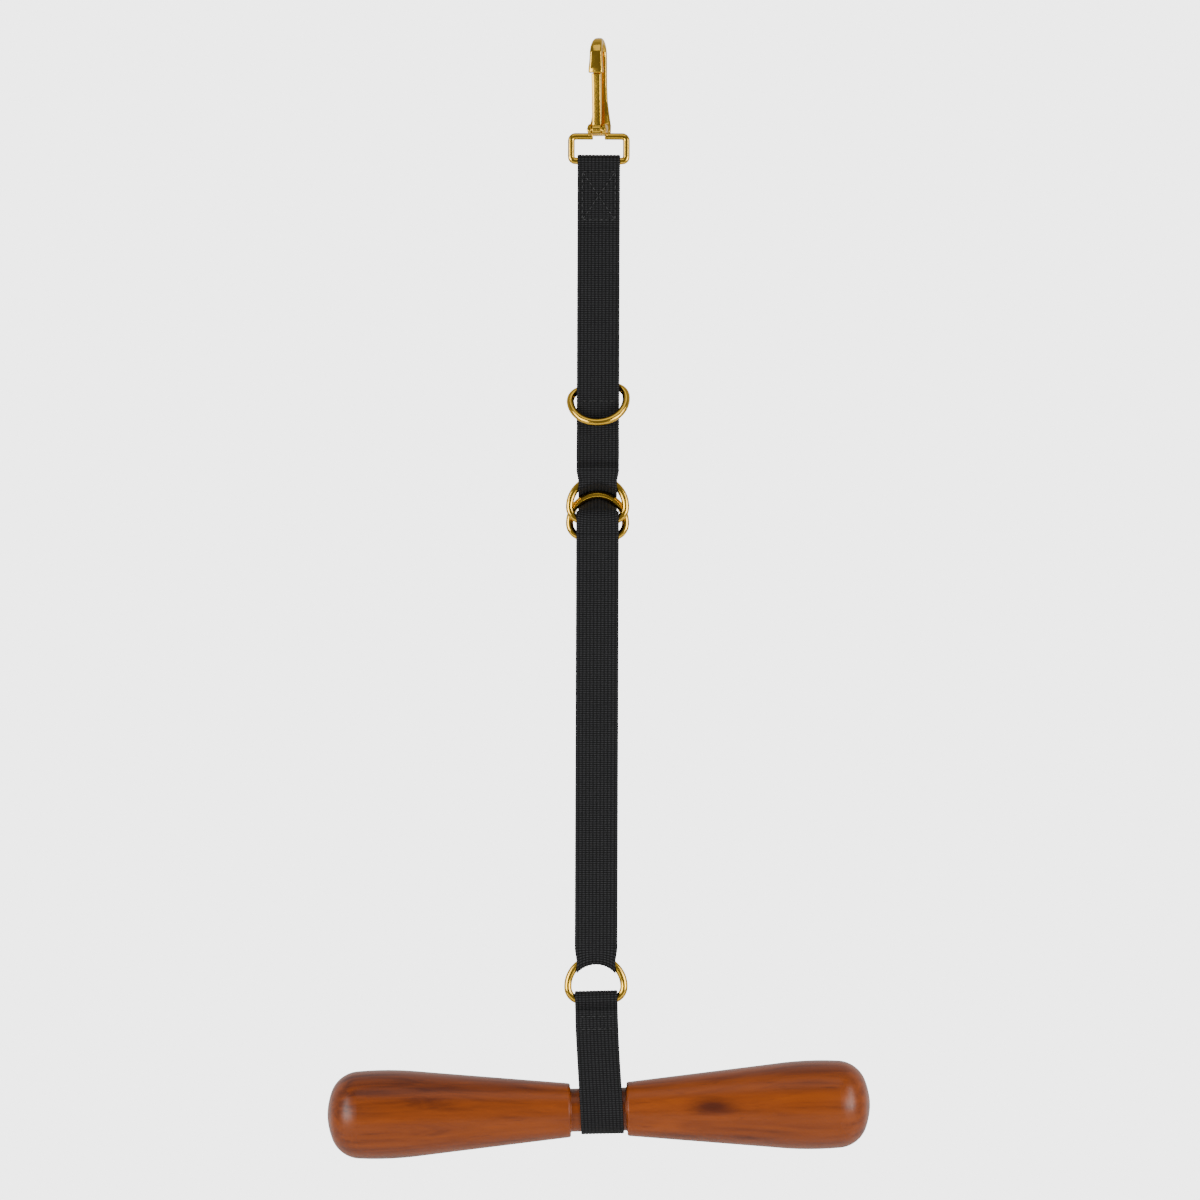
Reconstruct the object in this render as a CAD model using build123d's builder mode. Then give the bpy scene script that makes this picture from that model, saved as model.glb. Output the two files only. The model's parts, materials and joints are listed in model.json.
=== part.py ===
"""Hanging pull handle: brass snap hook, adjustable one-inch webbing and a turned wooden grip.

The origin is the centre of the snap hook's round seat.  Everything hangs below it, +Z is up,
the front faces -Y and the gate side of the hook is its front.  All sizes are millimetres.
"""
import os
from math import asin, atan2, cos, hypot, pi, radians, sin, sqrt, tau

from build123d import *

os.makedirs("parts", exist_ok=True)

# Webbing
WEB_W = 25.4  # width of every strap
WEB_T = 1.4  # thickness of one ply
PLY_GAP = 0.1  # between plies that are sewn face to face
RUN_CLEAR = 0.3  # between webbing and whatever it runs over
ROLL_CLEAR = 0.2  # between a sewn roll and the bar that turns in it
THREAD = 0.5  # width of a row of stitching
THREAD_H = 0.3  # height that a row stands proud of its ply
STITCH_INSET = 3.0  # from a strap's edge to the end of a row

# D rings, four alike
RING_WIRE = 4.4  # wire diameter
RING_SIDE_GAP = 1.65  # from the webbing's edge to the wire
RING_CORNER_R = 8.0  # wire centreline at the two corners
RING_STRAIGHT = 0.25  # short straight side between bow and corner
RING_SLIDE = 0.5  # how far a ring may sit off centre along its bar

# Snap hook
HOOK_YAW = 13.0  # the jaw's plane is turned this far from square to the eye
SEAT_R = 6.5  # round seat
HOOK_T = 4.2  # radial depth of the hook over the seat
HOOK_CROWN_W = 6.0  # width over the seat
NOSE_W = 7.8  # width at the nose's foot
NOSE_DROP = 10.3  # from the seat's centre down to the nose's foot
SPINE_ROOT_W = 13.0  # width where the spine meets the ears
SPINE_FOOT_Z = -47.0  # lower end of the spine
EYE_WIRE = 4.1  # diameter of the eye's bars
EYE_SIDE_GAP = 1.5  # from the webbing's edge to the eye's sides
EYE_H = 14.5  # between the centrelines of its upper and lower bars
EYE_CORNER_R = 2.4  # centreline radius of its corners
EAR_T = 2.5  # thickness of each ear that carries the gate
EAR_R = 3.4  # radius of the ears round the pin
PIN_R = 1.0  # gate pin
PIN_Y = -5.0  # gate pin, in front of the seat's centre
PIN_Z = -43.7  # gate pin, below the seat's centre
PIN_HEAD = 0.3  # how far each riveted end stands proud
GATE_W = 5.6  # gate width
GATE_T = 4.0  # gate depth, front to back
GATE_SIDE_GAP = 0.3  # each side between the gate and the ears
GATE_TIP_GAP = 0.3  # between the gate and the nose
GATE_TONGUE_H = 3.6  # tongue that closes behind the nose
GATE_TONGUE_T = 1.8
PIN_BORE_GAP = 0.12  # running gap round the pin in the gate
SPRING_WIRE = 0.5
SPRING_R = 1.5  # centreline of the coil
SPRING_TURNS = 3
SPRING_PITCH = 0.7
SPRING_SLOT_W = 3.2  # slot in the gate that holds the coil

# Lengths down the strap
HOOK_LEN = 62.0  # seat centre to the eye's lower bar
HOOK_STRAP_LEN = 134.5  # eye's lower bar to the anchor ring's bar
ANCHOR_DROP = 77.6  # anchor ring's bar to the front adjuster ring's bar
LOOP_LEN = 274.8  # front adjuster ring's bar to the lower ring's bow centre
NECK_LEN = 64.5  # lower ring's bar to the handle's axis
HOOK_TAIL = 38.9  # sewn-back end below the eye's lower bar
HOOK_STRAP_END = 21.2  # hook strap runs on below the anchor ring's bar
HEAD_TAIL = 40.7  # sewn-back end below the anchor ring's bar
FOLD_TAIL = 46.9  # sewn-back end below the front adjuster ring's bar
NECK_SEAM_TOP = 5.4  # neck loop's cut end below the lower ring's bar
NECK_SEAM_H = 13.0  # height of the neck loop's sewn stack

# Attitudes at rest
ANCHOR_TILT = 6.5  # anchor ring's bar, right side up
ANCHOR_LEAN = 34.0  # anchor ring's bow, forward of hanging straight down
LOWER_TILT = 1.5  # handle and lower ring, right side up
ADJ_Y = 3.0  # depth of the front adjuster ring's plane
ADJ_STAGGER = 9.6  # rear adjuster ring hangs lower by this

# Turned handle
HANDLE_LEN = 320.0
GRIP_R = 26.2  # largest radius
GRIP_BELLY = 28.0  # from each end to the largest radius
BELLY_ARC_R = 272.0  # long curve over the belly
END_ARC_R = 38.0  # gently domed end
END_FLAT_R = 2.5  # small flat that the turning leaves in the middle of each end
END_ROUND_R = 18.0  # rounding between belly and end
NECK_R = 12.75
NECK_GROOVE = 33.3  # length of the groove for the neck loop
SHOULDER_R = 15.9  # radius of the grip at the groove
SHOULDER_ROUND_R = 1.3
NECK_FILLET_R = 0.8

# Derived sizes
HALF_W = WEB_W / 2
BOW_R = HALF_W + RING_SIDE_GAP + RING_WIRE / 2
BAR_HALF = BOW_R - RING_CORNER_R
BAR_DROP = RING_CORNER_R + RING_STRAIGHT
EDGE_PAST_BAR = max(HALF_W + RING_SLIDE - BAR_HALF, 0)
EDGE_COS = sqrt(1 - (EDGE_PAST_BAR / RING_CORNER_R) ** 2)
EDGE_TOP = RING_CORNER_R * (1 - EDGE_COS) + RING_WIRE / 2 / EDGE_COS
ROLL_SHIFT = (EDGE_TOP - RING_WIRE / 2) / 2  # a roll's centre above its bar's
ROLL_R = (EDGE_TOP + RING_WIRE / 2) / 2 + ROLL_CLEAR + WEB_T / 2
BOW_WRAP_R = RING_WIRE / 2 + RUN_CLEAR + WEB_T / 2
EYE_WRAP_R = EYE_WIRE / 2 + RUN_CLEAR + WEB_T / 2
PLY_STEP = WEB_T + PLY_GAP

EYE_Z = -HOOK_LEN
ANCHOR_Z = EYE_Z - HOOK_STRAP_LEN
FRONT_BAR_Z = ANCHOR_Z - ANCHOR_DROP
REAR_BAR_Z = FRONT_BAR_Z - ADJ_STAGGER
BOW_Z = FRONT_BAR_Z - LOOP_LEN
REAR_RING_Y = ADJ_Y + RING_WIRE + RUN_CLEAR
HANDLE_DROP = BAR_DROP + NECK_LEN
MAIN_PLY_Y = 1.5 * PLY_STEP  # middle of the main strap behind the hook strap
ANCHOR_Y = MAIN_PLY_Y + ROLL_R
BEND_R = 4.0  # easy bend where a fold's plies come together
BEND_EASE = 1.06  # spare distance between a fold and the bends below it


# Frames and planes
def tilted(origin, tilt, lean=0.0):
    """Frame whose X is raised to the right by tilt, then turned about that X by lean."""
    across = Vector(cos(radians(tilt)), 0, sin(radians(tilt)))
    up = Vector(-sin(radians(tilt)), 0, cos(radians(tilt)))
    forward = Vector(0, -1, 0)
    return Plane(origin, x_dir=across, z_dir=up * cos(radians(lean)) + forward * sin(radians(lean)))


def side_plane(frame, x):
    """Sketch plane across a strap, drawn in (depth, height) at x along the frame."""
    return Plane(frame.from_local_coords(Vector(x, 0, 0)), x_dir=frame.y_dir, z_dir=frame.x_dir)


def face_plane(frame):
    """Sketch plane seen from the front, drawn in (across, height)."""
    return Plane(frame.origin, x_dir=frame.x_dir, z_dir=-frame.y_dir)


# Paths
def bow_fall(x):
    """How much lower the bow's wire is at x than at its top."""
    return BOW_R - sqrt(BOW_R**2 - x**2)


def bow_wrap_r(x):
    """Radius of webbing round the bow, measured square across the strap at x."""
    return RING_WIRE / 2 / sqrt(1 - (x / BOW_R) ** 2) + RUN_CLEAR + WEB_T / 2


def belt(stops):
    """Lines and arcs that pass round each stop in turn.

    A stop is (depth, height, radius): a radius above zero turns anticlockwise round the stop,
    one below zero clockwise, and zero is an end of the belt.
    """
    tangents = []
    for (y1, z1, r1), (y2, z2, r2) in zip(stops, stops[1:]):
        heading = atan2(z2 - z1, y2 - y1) - asin((r2 - r1) / hypot(y2 - y1, z2 - z1))
        ny = -sin(heading)
        nz = cos(heading)
        tangents.append(((y1 - r1 * ny, z1 - r1 * nz), (y2 - r2 * ny, z2 - r2 * nz)))
    for start, end in tangents:
        Line(start, end)
    for (y, z, r), (_, p), (q, _) in zip(stops[1:-1], tangents, tangents[1:]):
        first = atan2(p[1] - z, p[0] - y)
        turn = (atan2(q[1] - z, q[0] - y) - first) % tau
        if r < 0:
            turn -= tau
        middle = first + turn / 2
        ThreePointArc(p, (y + abs(r) * cos(middle), z + abs(r) * sin(middle)), q)


def bend_drop(reach, wrap_r, bend_r=BEND_R):
    """Height below a fold's centre at which a ply has room to bend straight."""
    return sqrt((BEND_EASE * (wrap_r + bend_r)) ** 2 - reach**2)


def strap(frame, stops, width=WEB_W):
    """Webbing of one ply thickness along a belt, as wide as the strap."""
    with BuildSketch(side_plane(frame, -width / 2)) as ply:
        with BuildLine():
            belt(stops)
        trace(line_width=WEB_T)
    extrude(ply.sketch, amount=width)


def curved_strap(frame, stops_at, count=9):
    """Webbing that saddles a round bow, its width laid along the bow's arc."""
    sections = []
    for step in range(count):
        x = BOW_R * sin(WEB_W / BOW_R * (step / (count - 1) - 0.5))
        with BuildSketch(side_plane(frame, x)) as ply:
            with BuildLine():
                belt(stops_at(x))
            trace(line_width=WEB_T)
        sections.append(ply.sketch)
    loft(sections)


def d_ring(frame):
    """D ring in the frame's XZ plane, its bow centre at the origin and its bow upwards."""
    corner = RING_CORNER_R * sin(pi / 4)
    with BuildLine(face_plane(frame)) as wire:
        Line((0, -BAR_DROP), (BAR_HALF, -BAR_DROP))
        ThreePointArc(
            (BAR_HALF, -BAR_DROP),
            (BAR_HALF + corner, -RING_STRAIGHT - corner),
            (BOW_R, -RING_STRAIGHT),
        )
        Line((BOW_R, -RING_STRAIGHT), (BOW_R, 0))
        ThreePointArc((BOW_R, 0), (0, BOW_R), (-BOW_R, 0))
        Line((-BOW_R, 0), (-BOW_R, -RING_STRAIGHT))
        ThreePointArc(
            (-BOW_R, -RING_STRAIGHT),
            (-BAR_HALF - corner, -RING_STRAIGHT - corner),
            (-BAR_HALF, -BAR_DROP),
        )
        Line((-BAR_HALF, -BAR_DROP), (0, -BAR_DROP))
    with BuildSketch(side_plane(frame, 0)) as section:
        with Locations((0, -BAR_DROP)):
            Circle(RING_WIRE / 2)
    sweep(section.sketch, path=wire.wires()[0])


def thread_rows(plane, rows):
    """Rows of thread lying on a ply, each from one (across, height) point to another."""
    for start, end in rows:
        with BuildSketch(plane) as row:
            with BuildLine():
                Line(start, end)
            trace(line_width=THREAD)
        extrude(row.sketch, amount=THREAD_H)


STRAIGHT = tilted((0, 0, 0), 0)
parts = {}

# Snap hook, in its own turned frame
HOOK = Plane(origin=(0, 0, 0), z_dir=(0, 0, 1)).rotated((0, 0, -HOOK_YAW))
HOOK_SIDE = side_plane(HOOK, 0)
HOOK_FACE = face_plane(HOOK)
OUT_R = SEAT_R + HOOK_T
SLOT_HALF = GATE_W / 2 + GATE_SIDE_GAP
EAR_OUT = SLOT_HALF + EAR_T
ROOT_Y = 0.5  # front face of the spine's root, behind the gate's knuckle

EYE_CENTRE = face_plane(tilted((0, 0, EYE_Z + EYE_H / 2), 0))
EYE_ACROSS = WEB_W + 2 * EYE_SIDE_GAP + EYE_WIRE
eye_path = (EYE_CENTRE * RectangleRounded(EYE_ACROSS, EYE_H, EYE_CORNER_R)).wire()

with BuildPart() as nose_half:
    with BuildSketch(HOOK_SIDE):
        with BuildLine():
            Line((0, OUT_R), (0, SEAT_R))
            ThreePointArc((0, SEAT_R), (-SEAT_R * sin(pi / 4), SEAT_R * sin(pi / 4)), (-SEAT_R, 0))
            Polyline(
                (-SEAT_R, 0),
                (-SEAT_R, -NOSE_DROP),
                (-OUT_R + 0.5, -NOSE_DROP),
                (-OUT_R, 0),
            )
            ThreePointArc((-OUT_R, 0), (-OUT_R * sin(pi / 4), OUT_R * sin(pi / 4)), (0, OUT_R))
        make_face()
    extrude(amount=NOSE_W, both=True)
    with BuildSketch(HOOK_FACE):
        Polygon(
            (-HOOK_CROWN_W / 2, OUT_R),
            (-HOOK_CROWN_W / 2, 0.5 * SEAT_R),
            (-NOSE_W / 2, -0.8 * NOSE_DROP),
            (-NOSE_W / 2, -NOSE_DROP),
            (NOSE_W / 2, -NOSE_DROP),
            (NOSE_W / 2, -0.8 * NOSE_DROP),
            (HOOK_CROWN_W / 2, 0.5 * SEAT_R),
            (HOOK_CROWN_W / 2, OUT_R),
            align=None,
        )
    extrude(amount=2 * OUT_R, both=True, mode=Mode.INTERSECT)

with BuildPart() as spine_half:
    with BuildSketch(HOOK_SIDE):
        with BuildLine():
            Line((0, SEAT_R), (0, OUT_R))
            ThreePointArc((0, OUT_R), (OUT_R * sin(pi / 4), OUT_R * sin(pi / 4)), (OUT_R, 0))
            Polyline(
                (OUT_R, 0),
                (ROOT_Y + 6.0, PIN_Z + 4.0),
                (ROOT_Y + 4.5, SPINE_FOOT_Z),
                (ROOT_Y, SPINE_FOOT_Z),
                (ROOT_Y, PIN_Z + 5.0),
                (SEAT_R, 0),
            )
            ThreePointArc((SEAT_R, 0), (SEAT_R * sin(pi / 4), SEAT_R * sin(pi / 4)), (0, SEAT_R))
        make_face()
    extrude(amount=SPINE_ROOT_W, both=True)
    with BuildSketch(HOOK_FACE):
        Polygon(
            (-HOOK_CROWN_W / 2, OUT_R),
            (-HOOK_CROWN_W / 2, -SEAT_R),
            (-0.6 * HOOK_CROWN_W, 0.55 * PIN_Z),
            (-SPINE_ROOT_W / 2, PIN_Z + EAR_R),
            (-SPINE_ROOT_W / 2, SPINE_FOOT_Z),
            (SPINE_ROOT_W / 2, SPINE_FOOT_Z),
            (SPINE_ROOT_W / 2, PIN_Z + EAR_R),
            (0.6 * HOOK_CROWN_W, 0.55 * PIN_Z),
            (HOOK_CROWN_W / 2, -SEAT_R),
            (HOOK_CROWN_W / 2, OUT_R),
            align=None,
        )
    extrude(amount=2 * OUT_R, both=True, mode=Mode.INTERSECT)

with BuildPart() as snap_body:
    add(nose_half.part)
    add(spine_half.part)
    with BuildSketch(HOOK_SIDE):
        with Locations((PIN_Y, PIN_Z)):
            Circle(EAR_R)
        Polygon(
            (PIN_Y, PIN_Z + EAR_R),
            (ROOT_Y + 2.5, PIN_Z + 7.0),
            (ROOT_Y + 4.0, SPINE_FOOT_Z),
            (ROOT_Y, SPINE_FOOT_Z - 2.3),
            (PIN_Y, PIN_Z - EAR_R),
            align=None,
        )
    extrude(amount=EAR_OUT, both=True)
    with BuildSketch(side_plane(STRAIGHT, 0)):
        with Locations((0, EYE_Z)):
            Circle(EYE_WIRE / 2)
    sweep(path=eye_path)
    with BuildSketch(HOOK_SIDE):
        Polygon(
            (-2 * OUT_R, PIN_Z + 8.0),
            (ROOT_Y, PIN_Z + 8.0),
            (ROOT_Y, SPINE_FOOT_Z),
            (2 * OUT_R, SPINE_FOOT_Z),
            (2 * OUT_R, SPINE_FOOT_Z - EYE_WIRE),
            (-2 * OUT_R, SPINE_FOOT_Z - EYE_WIRE),
            align=None,
        )
    extrude(amount=SLOT_HALF, both=True, mode=Mode.SUBTRACT)
    with BuildSketch(HOOK_SIDE):
        with Locations((PIN_Y, PIN_Z)):
            Circle(PIN_R)
    extrude(amount=2 * EAR_OUT, both=True, mode=Mode.SUBTRACT)
parts["snap_body"] = snap_body.part

with BuildPart() as snap_gate:
    tip_z = -NOSE_DROP - GATE_TIP_GAP
    tongue_y = -SEAT_R + GATE_TIP_GAP
    with BuildSketch(HOOK_SIDE):
        Polygon(
            (tongue_y, tip_z),
            (tongue_y, tip_z + GATE_TONGUE_H),
            (tongue_y + GATE_TONGUE_T, tip_z + GATE_TONGUE_H),
            (-OUT_R + 0.8 + GATE_T + 1.8, tip_z - 1.5),
            (PIN_Y + GATE_T / 2 + 0.9, PIN_Z),
            (PIN_Y - GATE_T / 2 - 0.9, PIN_Z),
            (-OUT_R + 1.2, tip_z - 1.2),
            (-OUT_R + 2.4, tip_z),
            align=None,
        )
        with Locations((PIN_Y, PIN_Z)):
            Circle(GATE_T / 2 + 0.9)
    extrude(amount=GATE_W / 2, both=True)
    with BuildSketch(HOOK_SIDE):
        with Locations((PIN_Y, PIN_Z)):
            Circle(PIN_R + PIN_BORE_GAP)
    extrude(amount=GATE_W, both=True, mode=Mode.SUBTRACT)
    with BuildSketch(HOOK_SIDE):
        Polygon(
            (PIN_Y - SPRING_R - 0.7, PIN_Z - GATE_T),
            (PIN_Y - SPRING_R - 0.7, PIN_Z + 7.0),
            (PIN_Y + GATE_T, PIN_Z + 3.0),
            (PIN_Y + GATE_T, PIN_Z - GATE_T),
            align=None,
        )
    extrude(amount=SPRING_SLOT_W / 2, both=True, mode=Mode.SUBTRACT)
parts["snap_gate"] = snap_gate.part

with BuildPart() as snap_gate_pin:
    with BuildSketch(HOOK_SIDE):
        with Locations((PIN_Y, PIN_Z)):
            Circle(PIN_R)
    extrude(amount=EAR_OUT + PIN_HEAD, both=True)
parts["snap_gate_pin"] = snap_gate_pin.part

with BuildPart() as snap_gate_spring:
    coil_len = SPRING_TURNS * SPRING_PITCH
    coil_start = HOOK.from_local_coords(Vector(-coil_len / 2, PIN_Y, PIN_Z))
    with BuildLine() as coil:
        Helix(SPRING_PITCH, coil_len, SPRING_R, center=coil_start, direction=HOOK.x_dir)
    with BuildSketch(Plane(coil.wires()[0] @ 0, z_dir=coil.wires()[0] % 0)):
        Circle(SPRING_WIRE / 2)
    sweep(path=coil.wires()[0], is_frenet=True)
parts["snap_gate_spring"] = snap_gate_spring.part

# Upper strap: hook strap over the eye's bar, its tail sewn to its front
eye_bend_y = PLY_STEP / 2 + BEND_R
eye_bend_z = EYE_Z - bend_drop(eye_bend_y, EYE_WRAP_R)
with BuildPart() as hook_strap:
    strap(
        STRAIGHT,
        [
            (-PLY_STEP / 2, EYE_Z - HOOK_TAIL, 0),
            (-eye_bend_y, eye_bend_z, BEND_R),
            (0, EYE_Z, -EYE_WRAP_R),
            (eye_bend_y, eye_bend_z, BEND_R),
            (PLY_STEP / 2, ANCHOR_Z - HOOK_STRAP_END, 0),
        ],
    )
parts["hook_strap"] = hook_strap.part

BOX_TOP = EYE_Z - 6.4
BOX_FOOT = EYE_Z - 34.8
ROW_X = HALF_W - STITCH_INSET
with BuildPart() as hook_stitching:
    thread_rows(
        Plane.XZ.offset(PLY_STEP / 2 + WEB_T / 2),
        [
            ((-ROW_X, BOX_TOP), (ROW_X, BOX_TOP)),
            ((-ROW_X, BOX_FOOT), (ROW_X, BOX_FOOT)),
            ((-ROW_X, BOX_FOOT), (-ROW_X, BOX_TOP)),
            ((ROW_X, BOX_FOOT), (ROW_X, BOX_TOP)),
            ((-ROW_X, BOX_FOOT), (ROW_X, BOX_TOP)),
            ((-ROW_X, BOX_TOP), (ROW_X, BOX_FOOT)),
        ],
    )
parts["hook_stitching"] = hook_stitching.part

# Anchor ring: its bar in the main strap's head, behind; its bow in front of the hook strap
ANCHOR_AXIS = Vector(0, ANCHOR_Y, ANCHOR_Z)
ANCHOR_FOLD = tilted(ANCHOR_AXIS, ANCHOR_TILT)
HEAD_SEW_Z = ANCHOR_Z - 12.0
head_bend_y = PLY_STEP - ROLL_R + BEND_R
HEAD_END_Z = ANCHOR_Z - HEAD_TAIL
MID_TOP_Z = HEAD_END_Z - 1.0
with BuildPart() as anchor_ring:
    ring_frame = tilted(ANCHOR_AXIS, ANCHOR_TILT, 180 - ANCHOR_LEAN)
    bow_centre = ring_frame.from_local_coords(Vector(-RING_SLIDE, 0, BAR_DROP - ROLL_SHIFT))
    d_ring(Plane(bow_centre, x_dir=ring_frame.x_dir, z_dir=ring_frame.z_dir))
parts["anchor_ring"] = anchor_ring.part

with BuildPart() as main_strap_head:
    strap(
        ANCHOR_FOLD,
        [
            (-ROLL_R, HEAD_SEW_Z - ANCHOR_Z, 0),
            (0, 0, -ROLL_R),
            (head_bend_y, -bend_drop(head_bend_y, ROLL_R), BEND_R),
            (-ROLL_R + PLY_STEP, HEAD_SEW_Z - ANCHOR_Z, 0),
        ],
    )
    for ply, low_z in ((0, MID_TOP_Z), (1, HEAD_END_Z)):
        with BuildSketch(Plane.XZ.offset(-MAIN_PLY_Y - ply * PLY_STEP + WEB_T / 2)):
            with BuildLine():
                Polyline(
                    (-HALF_W, low_z),
                    (HALF_W, low_z),
                    (HALF_W, HEAD_SEW_Z),
                    (-HALF_W, HEAD_SEW_Z),
                    close=True,
                )
            make_face()
        extrude(amount=-WEB_T)
parts["main_strap_head"] = main_strap_head.part

with BuildPart() as anchor_stitching:
    thread_rows(
        Plane.XZ.offset(-PLY_STEP / 2 + WEB_T / 2),
        [
            ((-ROW_X, ANCHOR_Z - 7.1), (ROW_X, ANCHOR_Z - 7.1)),
            ((-ROW_X, ANCHOR_Z - 19.0), (ROW_X, ANCHOR_Z - 19.0)),
        ],
    )
parts["anchor_stitching"] = anchor_stitching.part

# Adjuster: the main strap goes in front of one bow, behind the other and out over both bars
FRONT_BOW_Z = FRONT_BAR_Z + BAR_DROP + BOW_R
REAR_BOW_Z = REAR_BAR_Z + BAR_DROP + BOW_R
WEAVE_TOP_Z = FRONT_BOW_Z + 5.0
WEAVE_END_Z = FRONT_BAR_Z - 8.0
WEAVE_TOP_Y = ADJ_Y - bow_wrap_r(BOW_R * sin(HALF_W / BOW_R))
MID_BEND_R = 2.0  # the main strap's easy bend between the anchor and the adjuster
FOLD_OUT_R = ROLL_R + WEB_T / 2
BAR_WRAP_R = FOLD_OUT_R + RUN_CLEAR + WEB_T / 2
FRONT_PLY_Y = ADJ_Y - BAR_WRAP_R
REAR_PLY_Y = REAR_RING_Y + ROLL_R


def weave_at(x):
    """The main strap's belt through the two adjuster rings, at x across its width."""
    return [
        (WEAVE_TOP_Y, WEAVE_TOP_Z, 0),
        (ADJ_Y, FRONT_BOW_Z - bow_fall(x), bow_wrap_r(x)),
        (REAR_RING_Y, REAR_BOW_Z - bow_fall(x), -bow_wrap_r(x)),
        (ADJ_Y, FRONT_BAR_Z + ROLL_SHIFT, BAR_WRAP_R),
        (FRONT_PLY_Y, WEAVE_END_Z, 0),
    ]


with BuildPart() as main_strap_mid:
    strap(
        STRAIGHT,
        [
            (MAIN_PLY_Y, MID_TOP_Z - PLY_GAP, 0),
            (MAIN_PLY_Y - MID_BEND_R, MID_TOP_Z - 0.5, -MID_BEND_R),
            (WEAVE_TOP_Y + MID_BEND_R, WEAVE_TOP_Z + 0.5, MID_BEND_R),
            (WEAVE_TOP_Y, WEAVE_TOP_Z + PLY_GAP, 0),
        ],
    )
parts["main_strap_mid"] = main_strap_mid.part

with BuildPart() as main_strap_weave:
    curved_strap(STRAIGHT, weave_at)
parts["main_strap_weave"] = main_strap_weave.part

with BuildPart() as adjuster_ring_front:
    d_ring(tilted((0, ADJ_Y, FRONT_BAR_Z + BAR_DROP), 0))
parts["adjuster_ring_front"] = adjuster_ring_front.part

with BuildPart() as adjuster_ring_rear:
    d_ring(tilted((0, REAR_RING_Y, REAR_BAR_Z + BAR_DROP), 0))
parts["adjuster_ring_rear"] = adjuster_ring_rear.part

FOLD_END_Z = FRONT_BAR_Z - FOLD_TAIL
SEAM_Z = REAR_BAR_Z - 14.0  # where the fold's two plies come together
with BuildPart() as adjuster_fold:
    strap(
        STRAIGHT,
        [
            (REAR_PLY_Y, FOLD_END_Z - 1.0, 0),
            (REAR_RING_Y, REAR_BAR_Z + ROLL_SHIFT, ROLL_R),
            (ADJ_Y, FRONT_BAR_Z + ROLL_SHIFT, ROLL_R),
            (REAR_PLY_Y - PLY_STEP - BEND_R, SEAM_Z, -BEND_R),
            (REAR_PLY_Y - PLY_STEP, FOLD_END_Z, 0),
        ],
    )
parts["adjuster_fold"] = adjuster_fold.part

with BuildPart() as adjuster_stitching:
    thread_rows(
        Plane.XZ.offset(-REAR_PLY_Y - WEB_T / 2 - THREAD_H),
        [
            ((-ROW_X, SEAM_Z - 5.0), (ROW_X, SEAM_Z - 5.0)),
            ((-ROW_X, FOLD_END_Z + 4.0), (ROW_X, FOLD_END_Z + 4.0)),
        ],
    )
parts["adjuster_stitching"] = adjuster_stitching.part

# Loop strap: front and rear plies, and the saddle under the lower ring's bow
SADDLE_TOP_Z = BOW_Z + BOW_R + 7.0
with BuildPart() as main_strap_front:
    strap(
        STRAIGHT,
        [
            (FRONT_PLY_Y, WEAVE_END_Z - PLY_GAP, 0),
            (-BOW_WRAP_R, SADDLE_TOP_Z + PLY_GAP, 0),
        ],
    )
parts["main_strap_front"] = main_strap_front.part

with BuildPart() as main_strap_rear:
    strap(
        STRAIGHT,
        [
            (REAR_PLY_Y, FOLD_END_Z - 1.0 - PLY_GAP, 0),
            (BOW_WRAP_R, SADDLE_TOP_Z + PLY_GAP, 0),
        ],
    )
parts["main_strap_rear"] = main_strap_rear.part


def saddle_at(x):
    """The loop strap's belt under the lower ring's bow, at x across its width."""
    return [
        (-BOW_WRAP_R, SADDLE_TOP_Z, 0),
        (0, BOW_Z + BOW_R - bow_fall(x), bow_wrap_r(x)),
        (BOW_WRAP_R, SADDLE_TOP_Z, 0),
    ]


with BuildPart() as main_strap_saddle:
    curved_strap(STRAIGHT, saddle_at)
parts["main_strap_saddle"] = main_strap_saddle.part

# Lower group, tilted as one about the lower ring's bow centre
LOWER = tilted((0, 0, BOW_Z), LOWER_TILT)
with BuildPart() as lower_ring:
    d_ring(LOWER)
parts["lower_ring"] = lower_ring.part

NECK_WRAP_R = NECK_R + RUN_CLEAR + WEB_T / 2
ROLL_H = -BAR_DROP + ROLL_SHIFT
SEAM_TOP_H = -BAR_DROP - NECK_SEAM_TOP
SEAM_FOOT_H = SEAM_TOP_H - NECK_SEAM_H
with BuildPart() as neck_loop:
    strap(
        LOWER,
        [
            (PLY_STEP, SEAM_FOOT_H, 0),
            (PLY_STEP + BEND_R / 2, ROLL_H - 8.0, -BEND_R / 2),
            (0, ROLL_H, ROLL_R),
            (-BEND_R / 2, ROLL_H - 8.0, -BEND_R / 2),
            (0, SEAM_FOOT_H, 0),
        ],
    )
    strap(
        LOWER,
        [
            (-PLY_STEP, SEAM_TOP_H - 2.0, 0),
            (-PLY_STEP - BEND_R, SEAM_FOOT_H, -BEND_R),
            (0, -HANDLE_DROP, NECK_WRAP_R),
            (PLY_STEP + BEND_R, SEAM_FOOT_H, -BEND_R),
            (PLY_STEP, SEAM_TOP_H - 2.0, 0),
        ],
    )
parts["neck_loop"] = neck_loop.part

with BuildPart() as neck_stitching:
    seam_face = Plane(
        LOWER.from_local_coords(Vector(0, -PLY_STEP - WEB_T / 2, 0)),
        x_dir=LOWER.x_dir,
        z_dir=(0, -1, 0),
    )
    thread_rows(
        seam_face,
        [
            ((-ROW_X, SEAM_TOP_H - 4.0), (ROW_X, SEAM_TOP_H - 4.0)),
            ((-ROW_X, SEAM_FOOT_H + 1.5), (ROW_X, SEAM_FOOT_H + 1.5)),
        ],
    )
parts["neck_stitching"] = neck_stitching.part

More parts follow.
